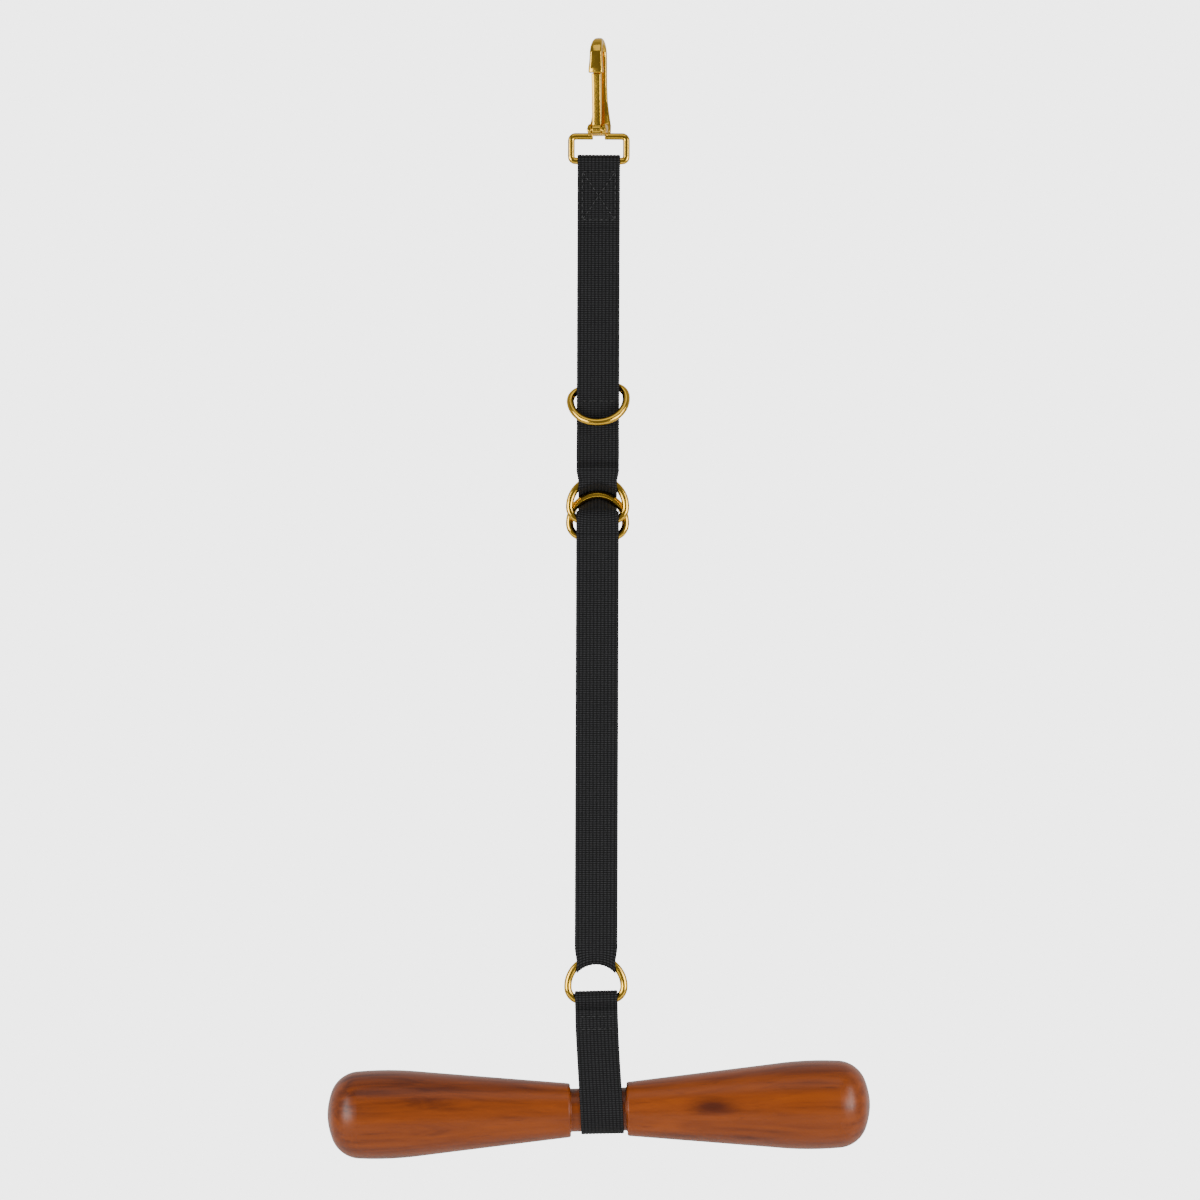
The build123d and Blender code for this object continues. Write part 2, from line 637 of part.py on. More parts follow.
with BuildPart() as handle:
    half_len = HANDLE_LEN / 2
    belly_x = half_len - GRIP_BELLY
    neck_x = NECK_GROOVE / 2
    # The straight taper meets the belly's arc where their slopes agree
    run = belly_x - neck_x
    fall = GRIP_R - SHOULDER_R
    slope = (run - sqrt(run**2 - 2 * BELLY_ARC_R * fall)) / BELLY_ARC_R
    meet_x = belly_x - BELLY_ARC_R * slope
    meet_r = GRIP_R - BELLY_ARC_R * slope**2 / 2
    end_r = GRIP_R - GRIP_BELLY**2 / (2 * BELLY_ARC_R)
    end_x = half_len - end_r**2 / (2 * END_ARC_R)
    turned = Plane(
        LOWER.from_local_coords(Vector(0, 0, -HANDLE_DROP)), x_dir=LOWER.x_dir, z_dir=(0, -1, 0)
    )
    with BuildSketch(turned) as profile:
        with BuildLine():
            Polyline(
                (half_len, END_FLAT_R),
                (half_len, 0),
                (0, 0),
                (0, NECK_R),
                (neck_x, NECK_R),
                (neck_x, SHOULDER_R),
                (meet_x, meet_r),
            )
            mid_x = (meet_x + end_x) / 2
            mid_r = GRIP_R - (mid_x - belly_x) ** 2 / (2 * BELLY_ARC_R)
            ThreePointArc((meet_x, meet_r), (mid_x, mid_r), (end_x, end_r))
            dome_x = half_len - end_r**2 / (8 * END_ARC_R)
            ThreePointArc((end_x, end_r), (dome_x, end_r / 2), (half_len, END_FLAT_R))
        make_face()
        for x, r, rounding in (
            (end_x, end_r, END_ROUND_R),
            (neck_x, SHOULDER_R, SHOULDER_ROUND_R),
            (neck_x, NECK_R, NECK_FILLET_R),
        ):
            fillet(profile.vertices().sort_by_distance((x, r, 0))[0], rounding)
        mirror(about=Plane.YZ)
    revolve(axis=Axis(turned.origin, turned.x_dir))
parts["handle"] = handle.part

for name, part in parts.items():
    part.label = name
    export_step(part, f"parts/{name}.step")
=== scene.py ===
"""Looks of the hanging pull handle: woven webbing, polished brass and lacquered turned wood."""
import json
import math

import bpy
import numpy as np
from bpy.props import FloatProperty, FloatVectorProperty, IntProperty, PointerProperty
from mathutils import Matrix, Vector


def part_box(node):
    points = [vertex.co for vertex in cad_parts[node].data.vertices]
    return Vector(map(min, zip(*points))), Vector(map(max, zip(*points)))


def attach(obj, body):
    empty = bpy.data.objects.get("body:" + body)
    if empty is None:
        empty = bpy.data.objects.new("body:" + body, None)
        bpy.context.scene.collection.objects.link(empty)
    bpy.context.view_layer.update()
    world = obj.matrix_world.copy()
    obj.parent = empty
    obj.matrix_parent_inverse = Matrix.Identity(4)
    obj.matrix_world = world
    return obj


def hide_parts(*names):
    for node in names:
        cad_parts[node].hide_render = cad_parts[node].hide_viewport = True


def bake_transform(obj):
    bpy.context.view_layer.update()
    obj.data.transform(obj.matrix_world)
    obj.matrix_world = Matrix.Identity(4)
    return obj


bl_info = {
    "name": "Hanging Pull Handle",
    "version": (1, 0, 0),
    "blender": (4, 5, 0),
    "location": "View3D > Sidebar > Pull Handle",
    "description": "Builds the webbing, brass and wood of a hanging pull handle round its CAD frame",
    "category": "Object",
}

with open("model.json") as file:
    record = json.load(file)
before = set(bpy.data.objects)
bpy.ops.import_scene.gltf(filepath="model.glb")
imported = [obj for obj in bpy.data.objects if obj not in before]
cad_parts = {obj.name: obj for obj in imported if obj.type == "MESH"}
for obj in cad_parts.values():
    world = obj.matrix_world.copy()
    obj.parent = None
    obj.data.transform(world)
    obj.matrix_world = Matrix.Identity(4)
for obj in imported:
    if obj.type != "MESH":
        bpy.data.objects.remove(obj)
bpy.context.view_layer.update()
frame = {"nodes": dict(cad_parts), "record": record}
JOINTS = {joint["name"]: joint for joint in frame["record"]["behaviour"]["joints"]}


def joint_place(name):
    """Where a hinge's axis stands, in the frame."""
    return np.array(JOINTS[name]["pos_m"])


def low(node):
    """A node's lowest corner."""
    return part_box(node)[0]


def high(node):
    """A node's highest corner."""
    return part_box(node)[1]


MM = 0.001

# Places that the frame fixes
EYE_Z = joint_place("hook_swing")[2]
ANCHOR = joint_place("anchor_ring_swing")
BOW_Z = joint_place("lower_ring_tilt")[2]
GRIP = joint_place("handle_spin")
LEFT = -np.array(JOINTS["anchor_ring_swing"]["axis"])
LOWER_X = np.array(JOINTS["handle_spin"]["axis"])
LOWER_X = LOWER_X / np.linalg.norm(LOWER_X)
LOWER_UP = np.array([-LOWER_X[2], 0.0, LOWER_X[0]])
FRONT_RING = (low("adjuster_ring_front") + high("adjuster_ring_front")) / 2
REAR_RING = (low("adjuster_ring_rear") + high("adjuster_ring_rear")) / 2
WEB_WIDTH = high("main_strap_front")[0] - low("main_strap_front")[0]
RING_WIRE = high("adjuster_ring_front")[1] - low("adjuster_ring_front")[1]
RING_HALF = (high("adjuster_ring_front")[0] - low("adjuster_ring_front")[0] - RING_WIRE) / 2
RING_HIGH = high("adjuster_ring_front")[2] - low("adjuster_ring_front")[2] - RING_WIRE
BAR_DROP = RING_HIGH - RING_HALF
CORNER_RISE = 0.25 * MM
CORNER_R = BAR_DROP - CORNER_RISE
BAR_HALF = RING_HALF - CORNER_R
UP = np.array([0, 0, 1.0])

# Fixed sizes, in metres
EYE_WIRE_R = 2.05 * MM
EYE_HIGH = 14.5 * MM
EYE_CORNER_R = 2.4 * MM
EYE_GAP = 3.4 * MM
NECK_R = 12.75 * MM
WIRE_CLEAR = 0.3 * MM
PLY_CLEAR = 0.1 * MM
BEND_R = 4 * MM
SELVEDGE = 0.3 * MM
SELVEDGE_NOTCH = 0.12 * MM
NECK_SEAM_TOP = BOW_Z - BAR_DROP - 5.4 * MM

# How finely the weave is divided
POINTS_PER_RIB = 4
POINTS_PER_ROW = 4
LEAST_ROWS = 24


class WebbingSizes(bpy.types.PropertyGroup):
    """Sizes of the webbing's weave and of its stitching."""

    ply: FloatProperty(name="Ply", description="Thickness of one ply", default=0.0014, unit="LENGTH")
    ribs: IntProperty(name="Ribs", description="Lengthwise ribs across the webbing", default=12)
    row: FloatProperty(name="Row", description="Height of one woven row", default=0.0013, unit="LENGTH")
    relief: FloatProperty(
        name="Relief", description="How far the yarns stand proud", default=0.00024, unit="LENGTH"
    )
    stitch: FloatProperty(name="Stitch", description="Length of one stitch", default=0.0026, unit="LENGTH")
    pitch: FloatProperty(name="Pitch", description="From stitch to stitch", default=0.0035, unit="LENGTH")
    thread: FloatProperty(
        name="Thread", description="Thickness of the thread", default=0.0007, unit="LENGTH"
    )


class Colours(bpy.types.PropertyGroup):
    """Colours of the pull handle's materials."""

    webbing: FloatVectorProperty(
        name="Webbing", description="Black nylon yarn", subtype="COLOR", default=(0.0060, 0.0060, 0.0064)
    )
    thread: FloatVectorProperty(
        name="Thread", description="Sewing thread", subtype="COLOR", default=(0.024, 0.024, 0.025)
    )
    brass: FloatVectorProperty(
        name="Brass", description="Polished brass", subtype="COLOR", default=(0.84, 0.50, 0.055)
    )
    wood_light: FloatVectorProperty(
        name="Light wood", description="Lighter grain", subtype="COLOR", default=(0.29, 0.056, 0.0004)
    )
    wood_dark: FloatVectorProperty(
        name="Dark wood", description="Darker grain", subtype="COLOR", default=(0.085, 0.0125, 0.0002)
    )


# Small tools
def deselect():
    if bpy.context.object and bpy.context.object.mode != "OBJECT":
        bpy.ops.object.mode_set(mode="OBJECT")
    bpy.ops.object.select_all(action="DESELECT")


def shade_smooth(mesh):
    mesh.polygons.foreach_set("use_smooth", np.ones(len(mesh.polygons), dtype=bool))


def make_piece(name, points, faces, finish, uv=None):
    """A mesh piece from its points and faces, with an optional UV per point."""
    mesh = bpy.data.meshes.new(name)
    mesh.from_pydata([tuple(p) for p in points], [], faces)
    shade_smooth(mesh)
    if uv is not None:
        layer = mesh.uv_layers.new(name="weave")
        corner = np.empty(len(mesh.loops), dtype=np.int64)
        mesh.loops.foreach_get("vertex_index", corner)
        layer.data.foreach_set("uv", uv[corner].astype(np.float32).ravel())
    mesh.materials.append(finish)
    mesh.update()
    piece = bpy.data.objects.new(name, mesh)
    bpy.context.scene.collection.objects.link(piece)
    return piece


def place(piece, body, slot, *nodes):
    """Puts a finished piece on its body and hides the CAD nodes that it stands for; its slot is not used.

    A piece given no body here is left attached to none.
    """
    if body:
        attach(piece, body)
    if nodes:
        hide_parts(*nodes)
    return piece


def make_active(piece):
    deselect()
    piece.select_set(True)
    bpy.context.view_layer.objects.active = piece


def apply_modifiers(piece):
    make_active(piece)
    for modifier in list(piece.modifiers):
        bpy.ops.object.modifier_apply(modifier=modifier.name)


def faces_outwards(piece):
    make_active(piece)
    bpy.ops.object.mode_set(mode="EDIT")
    bpy.ops.mesh.select_all(action="SELECT")
    bpy.ops.mesh.normals_make_consistent(inside=False)
    bpy.ops.object.mode_set(mode="OBJECT")


def grid_faces(rows, columns, closed_rows=False):
    """Quads of a tube of rings: each row is a closed ring of columns."""
    faces = []
    for row in range(rows if closed_rows else rows - 1):
        start = row * columns
        after = ((row + 1) % rows) * columns
        for column in range(columns):
            right = (column + 1) % columns
            faces.append((start + column, start + right, after + right, after + column))
    return faces


def end_caps(rows, columns):
    """Two closing faces for the open ends of a tube."""
    return [tuple(reversed(range(columns))), tuple(range((rows - 1) * columns, rows * columns))]


# Belts: the line that webbing takes round wires and bars, in (depth, height)
def belt(stops):
    """Points along the lines and arcs that pass round each (depth, height, radius) in turn."""
    tangents = []
    for (y1, z1, r1), (y2, z2, r2) in zip(stops, stops[1:]):
        heading = math.atan2(z2 - z1, y2 - y1) - math.asin((r2 - r1) / math.hypot(y2 - y1, z2 - z1))
        ny, nz = -math.sin(heading), math.cos(heading)
        tangents.append(((y1 - r1 * ny, z1 - r1 * nz), (y2 - r2 * ny, z2 - r2 * nz)))
    points = [tangents[0][0], tangents[0][1]]
    for (y, z, r), (_, start), (end, after) in zip(stops[1:-1], tangents, tangents[1:]):
        first = math.atan2(start[1] - z, start[0] - y)
        turn = (math.atan2(end[1] - z, end[0] - y) - first) % math.tau
        if r < 0:
            turn -= math.tau
        count = max(2, int(abs(turn) / math.radians(4)))
        for step in range(1, count + 1):
            angle = first + turn * step / count
            points.append((y + abs(r) * math.cos(angle), z + abs(r) * math.sin(angle)))
        points.append(after)
    return np.array(points)


def length_of(line):
    """The length of a line through points."""
    return float(np.sum(np.hypot(*np.diff(line, axis=0).T)))


def even_stations(line, count):
    """The line's points at even spacing, each with its left-hand normal."""
    steps = np.hypot(*np.diff(line, axis=0).T)
    run = np.concatenate([[0.0], np.cumsum(steps)])
    wanted = np.linspace(0, run[-1], count)
    points = np.stack([np.interp(wanted, run, line[:, 0]), np.interp(wanted, run, line[:, 1])], axis=1)
    ahead = np.gradient(points, axis=0)
    ahead /= np.linalg.norm(ahead, axis=1)[:, None]
    return points, np.stack([-ahead[:, 1], ahead[:, 0]], axis=1)


def bow_fall(x):
    """How far a ring's bow has dropped at x from its middle."""
    return RING_HALF - math.sqrt(RING_HALF**2 - x**2)


def bow_wrap(x, ply):
    """Radius of webbing round a bow's wire, cut square across the strap at x."""
    return RING_WIRE / 2 / math.sqrt(1 - (x / RING_HALF) ** 2) + WIRE_CLEAR + ply / 2


def hugged(x):
    """Where a point x from the webbing's middle lies when its width follows the bow."""
    return RING_HALF * math.sin(x / RING_HALF)


def eased(t):
    """A soft rise from 0 to 1 as t goes from 0 to 1."""
    t = np.clip(t, 0, 1)
    return t**2 * (3 - 2 * t)


def swell(share):
    """Nothing at both ends and 1 in the middle."""
    return np.sin(math.pi * share) ** 2


def level(stops):
    """The same belt all across the webbing's width."""
    return lambda x: stops


def woven(sizes, stops_at, squeeze=None, aside=None):
    """A length of woven webbing with its ribs, rows and selvedges in relief.

    stops_at gives the belt at x across the width.  squeeze gives, for each share of the length,
    how much of the width is drawn in to follow a ring's bow, and aside how far it lies off centre.
    """
    rib_roundness = 0.7
    row_relief = 0.45
    rows = length_of(belt(stops_at(0.0))) / sizes.row
    count = max(LEAST_ROWS, int(rows * POINTS_PER_ROW)) + 1
    across = np.linspace(-1, 1, sizes.ribs * POINTS_PER_RIB + 1)
    half = WEB_WIDTH / 2
    edge_in = 1 - SELVEDGE / half
    columns = np.concatenate([across * edge_in, [1.0], across[::-1] * edge_in, [-1.0]])
    side = np.concatenate([np.ones(len(across)), [0.0], -np.ones(len(across)), [0.0]])
    share = np.linspace(0, 1, count)
    drawn = np.zeros(count) if squeeze is None else squeeze(share)
    belts = {}
    for x in np.unique(np.round(columns * half, 7)):
        belts[x] = even_stations(belt(stops_at(float(x))), count)
    phase = share * rows
    waves = np.cos(math.tau * phase)
    points = np.empty((count, len(columns), 3))
    for k, (c, s) in enumerate(zip(columns, side)):
        x = round(c * half, 7)
        line, normal = belts[x]
        rib = (c / edge_in + 1) / 2 * sizes.ribs
        across_rib = abs(math.sin(math.pi * rib)) ** rib_roundness
        bump = across_rib * (1 - row_relief + row_relief * waves)
        depth = (sizes.ply / 2 - sizes.relief + sizes.relief * bump) * s
        wide = x * (1 - drawn) + hugged(x) * drawn
        if s == 0:
            wide = wide - np.sign(c) * SELVEDGE_NOTCH * (1 + waves)
        points[:, k, 0] = wide if aside is None else wide + aside(share)
        points[:, k, 1] = line[:, 0] + normal[:, 0] * depth
        points[:, k, 2] = line[:, 1] + normal[:, 1] * depth
    uv = np.empty((count, len(columns), 2))
    uv[:, :, 0] = (columns[None, :] + 1) / 2 * sizes.ribs
    uv[:, :, 1] = phase[:, None]
    faces = grid_faces(count, len(columns)) + end_caps(count, len(columns))
    return points.reshape(-1, 3), faces, uv.reshape(-1, 2)


def joined(shells):
    """The points and faces of several (points, faces) shells as one."""
    faces = []
    start = 0
    for points, shell_faces, *_ in shells:
        faces.extend(tuple(i + start for i in face) for face in shell_faces)
        start += len(points)
    return np.concatenate([shell[0] for shell in shells]), faces


def woven_piece(name, body, node, lengths):
    """One webbing piece from one or more woven lengths."""
    points, faces = joined(lengths)
    uv = np.concatenate([length[2] for length in lengths])
    piece = make_piece(name, points, faces, material("webbing"), uv=uv)
    faces_outwards(piece)
    return place(piece, body, "webbing", node)


def lower_group(points):
    """Points drawn straight below the lower ring's bow centre, turned to the group's tilt."""
    centre = np.array([0.0, 0.0, BOW_Z])
    local = points - centre
    return centre + local[:, :1] * LOWER_X + local[:, 1:2] * np.array([0, 1.0, 0]) + local[:, 2:] * LOWER_UP


def one_stitch(sizes):
    """The points and faces of one stitch along X, whose ends dip into the cloth."""
    dip = 1.1
    deselect()
    bpy.ops.mesh.primitive_uv_sphere_add(segments=8, ring_count=6, radius=0.5)
    seed = bpy.context.object
    points = np.array([v.co[:] for v in seed.data.vertices]) * (sizes.stitch, sizes.thread, sizes.thread)
    points[:, 2] -= (points[:, 0] / sizes.stitch) ** 2 * sizes.thread * dip
    faces = [tuple(p.vertices) for p in seed.data.polygons]
    bpy.data.objects.remove(seed, do_unlink=True)
    return points, faces


def stitches(name, body, node, sizes, rows, turn=None):
    """Rows of single stitches; each row runs between two points, on a face with an outward normal."""
    proud = 0.22
    stitch, stitch_faces = one_stitch(sizes)
    shells = []
    for row in rows:
        start, end, outward = (np.array(v, dtype=float) for v in row)
        run = np.linalg.norm(end - start)
        along = (end - start) / run
        over = np.cross(outward, along)
        count = max(2, int(round(run / sizes.pitch)))
        for step in range(count):
            centre = start + along * run * (step + 0.5) / count + outward * sizes.thread * proud
            turned = stitch[:, :1] * along + stitch[:, 1:2] * over + stitch[:, 2:] * outward
            shells.append((centre + turned, stitch_faces))
    points, faces = joined(shells)
    if turn:
        points = turn(points)
    piece = make_piece(name, points, faces, material("thread"))
    return place(piece, body, "thread", node)


# Materials
def new_material(name):
    """A material with its node tree and its shader."""
    made = bpy.data.materials.new(name)
    made.use_nodes = True
    return made, made.node_tree, made.node_tree.nodes["Principled BSDF"]


def feed(tree, node, inputs):
    """Sets each input to its number or colour, or links it to another node's socket."""
    for name, value in inputs.items():
        if isinstance(value, bpy.types.NodeSocket):
            tree.links.new(value, node.inputs[name])
        else:
            node.inputs[name].default_value = value


def add_node(tree, kind, inputs, **settings):
    """A node with its settings and its inputs."""
    node = tree.nodes.new(kind)
    for name, value in settings.items():
        setattr(node, name, value)
    feed(tree, node, inputs)
    return node


def calculate(tree, operation, *values):
    """The result of one sum on numbers or sockets."""
    node = add_node(tree, "ShaderNodeMath", dict(enumerate(values)), operation=operation)
    return node.outputs["Value"]


def object_place(tree):
    """A surface point's place in the object's own space."""
    return tree.nodes.new("ShaderNodeTexCoord").outputs["Object"]


def noise(tree, place_at, scale, detail, rough=0.5, distortion=0.0):
    """The strength of a noise texture at a place."""
    inputs = {
        "Vector": place_at,
        "Scale": scale,
        "Detail": detail,
        "Roughness": rough,
        "Distortion": distortion,
    }
    return add_node(tree, "ShaderNodeTexNoise", inputs).outputs["Fac"]


def shade(colour, factor=1.0):
    """A colour made lighter or darker, with its alpha."""
    return (*(c * factor for c in colour), 1)


def colour_ramp(tree, amount, *stops):
    """The colour that a ramp through (position, colour) stops gives for an amount."""
    node = add_node(tree, "ShaderNodeValToRGB", {"Fac": amount})
    elements = node.color_ramp.elements
    for element, (position, colour) in zip(elements, (stops[0], stops[-1])):
        element.position = position
        element.color = colour
    for position, colour in stops[1:-1]:
        elements.new(position).color = colour
    return node.outputs["Color"]


def bumps(tree, height, strength, distance):
    """The normal that a height gives the surface."""
    inputs = {"Height": height, "Strength": strength, "Distance": distance}
    return add_node(tree, "ShaderNodeBump", inputs).outputs["Normal"]


def nylon_webbing(colour):
    """Black nylon yarn: painted shade between its ribs and rows and a painted highlight on their crowns, with
    fine filaments and a soft sheen.
    """
    made, tree, shader = new_material("black nylon webbing")
    uv = add_node(tree, "ShaderNodeUVMap", {}, uv_map="weave").outputs["UV"]
    along_yarn = add_node(tree, "ShaderNodeMapping", {"Vector": uv, "Scale": (14, 1.4, 1)})
    yarn = noise(tree, along_yarn.outputs["Vector"], 1.0, 3)
    wear = noise(tree, object_place(tree), 60, 4)
    fibre = calculate(tree, "MULTIPLY_ADD", wear, 0.35, yarn)
    split = add_node(tree, "ShaderNodeSeparateXYZ", {"Vector": uv})
    half_turns = calculate(tree, "MULTIPLY", split.outputs["X"], math.pi)
    ribs = calculate(tree, "ABSOLUTE", calculate(tree, "SINE", half_turns))
    turns = calculate(tree, "MULTIPLY", split.outputs["Y"], math.tau)
    rows = calculate(tree, "MULTIPLY_ADD", calculate(tree, "COSINE", turns), 0.5, 0.5)
    # Painted shade and highlight: the base colour darkens between the ribs and rows and lightens on their
    # crowns
    painted_weave_shade = calculate(tree, "MULTIPLY", calculate(tree, "POWER", ribs, 0.8), rows)
    painted_shade_and_fibre = calculate(tree, "MULTIPLY", painted_weave_shade, calculate(tree, "MULTIPLY_ADD", fibre, 0.9, 0.35))
    look = {
        "Base Color": colour_ramp(tree, painted_shade_and_fibre, (0.05, shade(colour, 0.12)), (0.80, shade(colour, 4.6))),
        "Normal": bumps(tree, yarn, 0.35, 0.0002),
        "Roughness": 0.66,
        "Specular IOR Level": 0.16,
        "Sheen Weight": 0.03,
        "Sheen Roughness": 0.4,
    }
    feed(tree, shader, look)
    return made


def sewing_thread(colour):
    """Twisted thread, a little glossier than the webbing, with painted shade in the grooves of its twist."""
    made, tree, shader = new_material("black sewing thread")
    inputs = {"Vector": object_place(tree), "Scale": 900, "Distortion": 1.0}
    twist_relief_and_shade = add_node(tree, "ShaderNodeTexWave", inputs).outputs["Fac"]
    # Painted shade: the base colour follows the twist's wave, lighter on its ridges and darker in its grooves
    look = {
        "Base Color": colour_ramp(tree, twist_relief_and_shade, (0.0, shade(colour, 0.7)), (1.0, shade(colour, 1.5))),
        "Normal": bumps(tree, twist_relief_and_shade, 0.5, 0.0001),
        "Roughness": 0.5,
    }
    feed(tree, shader, look)
    return made


def polished_brass(colour):
    """Brass with a bright polish, faint ripples from polishing and slightly dulled patches."""
    made, tree, shader = new_material("polished brass")
    coords = object_place(tree)
    ripple = noise(tree, coords, 220, 2)
    tarnish = noise(tree, coords, 90, 5)
    dull = add_node(tree, "ShaderNodeMapRange", {"Value": tarnish, "To Min": 0.10, "To Max": 0.22})
    look = {
        "Base Color": colour_ramp(tree, tarnish, (0.3, shade(colour, 0.86)), (0.7, shade(colour))),
        "Normal": bumps(tree, ripple, 0.04, 0.0003),
        "Roughness": dull.outputs["Result"],
        "Metallic": 1.0,
    }
    feed(tree, shader, look)
    return made


def spring_steel():
    """Drawn spring wire."""
    made, tree, shader = new_material("spring wire")
    drawn = noise(tree, object_place(tree), 800, 2)
    stops = ((0.0, (0.30, 0.29, 0.27, 1)), (1.0, (0.62, 0.60, 0.57, 1)))
    look = {"Base Color": colour_ramp(tree, drawn, *stops), "Metallic": 1.0, "Roughness": 0.3}
    feed(tree, shader, look)
    return made


def lacquered_wood(light, dark):
    """Close-grained reddish hardwood with long streaks, a knot and a clear lacquer."""
    made, tree, shader = new_material("lacquered hardwood")
    inputs = {
        "Vector": object_place(tree),
        "Location": tuple(GRIP),
        "Rotation": (0, -math.atan2(LOWER_X[2], LOWER_X[0]), 0),
    }
    turned = add_node(tree, "ShaderNodeMapping", inputs, vector_type="TEXTURE").outputs["Vector"]

    def grain_noise(scale, detail, squash, rough=0.55):
        """Noise drawn out along the grip, so that its grain runs from end to end."""
        spread = add_node(tree, "ShaderNodeMapping", {"Vector": turned, "Scale": (squash, 1, 1)})
        return noise(tree, spread.outputs["Vector"], scale, detail, rough, 0.4)

    streaks = grain_noise(150, 5, 0.045, 0.6)
    clouds = grain_noise(18, 3, 0.28)
    pores = grain_noise(600, 2, 0.03, 0.7)
    blend = add_node(
        tree, "ShaderNodeMix", {"Factor": 0.42, "A": streaks, "B": clouds}, data_type="FLOAT"
    )

    inputs = {"Vector": turned, "Location": (0.067, -0.018, 0.002), "Scale": (0.022, 0.04, 0.0065)}
    knot = add_node(tree, "ShaderNodeMapping", inputs, vector_type="TEXTURE").outputs["Vector"]
    ball = add_node(tree, "ShaderNodeTexGradient", {"Vector": knot}, gradient_type="SPHERICAL")
    ragged = calculate(tree, "MULTIPLY", ball.outputs["Fac"], streaks)
    knotted = calculate(tree, "MULTIPLY_ADD", ragged, -0.55, blend.outputs["Result"])

    warm = tuple(a * 0.62 + b * 0.38 for a, b in zip(light, dark))
    stops = ((0.16, shade(dark, 0.5)), (0.36, shade(dark)), (0.50, shade(warm)), (0.66, shade(light)))
    grain = colour_ramp(tree, knotted, *stops)
    inputs = {"Value": pores, "From Min": 0.62, "From Max": 0.75, "To Max": 0.35}
    flecks = add_node(tree, "ShaderNodeMapRange", inputs).outputs["Result"]
    inputs = {"Factor": flecks, "A": grain, "B": (0.25, 0.18, 0.12, 1)}
    flecked = add_node(tree, "ShaderNodeMix", inputs, data_type="RGBA", blend_type="MULTIPLY")
    look = {
        "Base Color": flecked.outputs["Result"],
        "Normal": bumps(tree, pores, 0.12, 0.0003),
        "Roughness": 0.42,
        "Specular IOR Level": 0.12,
        "Coat Weight": 0.6,
        "Coat Roughness": 0.33,
    }
    feed(tree, shader, look)
    return made


MATERIALS = {}


def material(name):
    """Each material is made once, from the colours in the panel."""
    if not MATERIALS:
        colours = bpy.context.scene.pull_colours
        MATERIALS["webbing"] = nylon_webbing(tuple(colours.webbing))
        MATERIALS["thread"] = sewing_thread(tuple(colours.thread))
        MATERIALS["brass"] = polished_brass(tuple(colours.brass))
        MATERIALS["spring"] = spring_steel()
        MATERIALS["wood"] = lacquered_wood(tuple(colours.wood_light), tuple(colours.wood_dark))
    return MATERIALS[name]


# Brass
def mount(name):
    """A mount of the frame's record."""
    return next(entry for entry in frame["record"]["mounts"] if entry["name"] == name)


def unit(vector):
    return vector / np.linalg.norm(vector)


def tube(centres, acrosses, ups, halves, sides=20, closed=False, square=2.0):
    """A tube whose oval section has its own two axes and half sizes at each centre."""
    angles = np.linspace(0, math.tau, sides, endpoint=False)
    c, s = np.cos(angles), np.sin(angles)
    c = np.sign(c) * np.abs(c) ** (2 / square)
    s = np.sign(s) * np.abs(s) ** (2 / square)
    points = [
        centre + np.outer(c, across) * half[0] + np.outer(s, up) * half[1]
        for centre, across, up, half in zip(centres, acrosses, ups, halves)
    ]
    count = len(points)
    faces = grid_faces(count, sides, closed)
    if not closed:
        faces += end_caps(count, sides)
    return np.concatenate(points), faces


def ring_outline():
    """A D ring's wire centreline from its bar's middle round, in (across, height)."""
    corner_points, bow_points = 12, 43
    line = [(0.0, -BAR_DROP), (BAR_HALF * 0.5, -BAR_DROP)]
    for angle in np.linspace(-math.pi / 2, 0, corner_points):
        line.append((BAR_HALF + CORNER_R * math.cos(angle), -CORNER_RISE + CORNER_R * math.sin(angle)))
    lower = len(line)
    for angle in np.linspace(0, math.pi, bow_points + 1)[1:]:
        line.append((RING_HALF * math.cos(angle), RING_HALF * math.sin(angle)))
    return np.array(line + [(-x, z) for x, z in reversed(line[1:lower])])


def d_ring(body, node, centre, across, up):
    """Round brass wire bent to a closed D."""
    line = ring_outline()
    ahead = np.roll(line, -1, axis=0) - np.roll(line, 1, axis=0)
    ahead /= np.linalg.norm(ahead, axis=1)[:, None]
    centres = centre + np.outer(line[:, 0], across) + np.outer(line[:, 1], up)
    outs = np.outer(ahead[:, 1], across) - np.outer(ahead[:, 0], up)
    depths = [np.cross(across, up)] * len(line)
    halves = [(RING_WIRE / 2, RING_WIRE / 2)] * len(line)
    points, faces = tube(centres, outs, depths, halves, 24, True)
    piece = make_piece(f"{node}_brass", points, faces, material("brass"))
    faces_outwards(piece)
    return place(piece, body, "brass", node)


class PULL_OT_rings(bpy.types.Operator):
    """Four D rings of round brass wire"""

    bl_idname = "pull.rings"
    bl_label = "D rings"

    def execute(self, context):
        for node, middle in (("adjuster_ring_front", FRONT_RING), ("adjuster_ring_rear", REAR_RING)):
            bow_z = high(node)[2] - RING_WIRE / 2 - RING_HALF
            centre = np.array([0, middle[1], bow_z])
            d_ring("adjuster", node, centre, np.array([1.0, 0, 0]), UP)
        d_ring("lower_ring", "lower_ring", np.array([0, 0, BOW_Z]), LOWER_X, LOWER_UP)
        clip = np.array(mount("anchor_ring_clip")["pos_m"])
        across = unit(LEFT)
        toward_bow = clip - ANCHOR
        toward_bow = unit(toward_bow - across * toward_bow.dot(across))
        d_ring("anchor_ring", "anchor_ring", clip - toward_bow * RING_HALF, across, toward_bow)
        return {"FINISHED"}


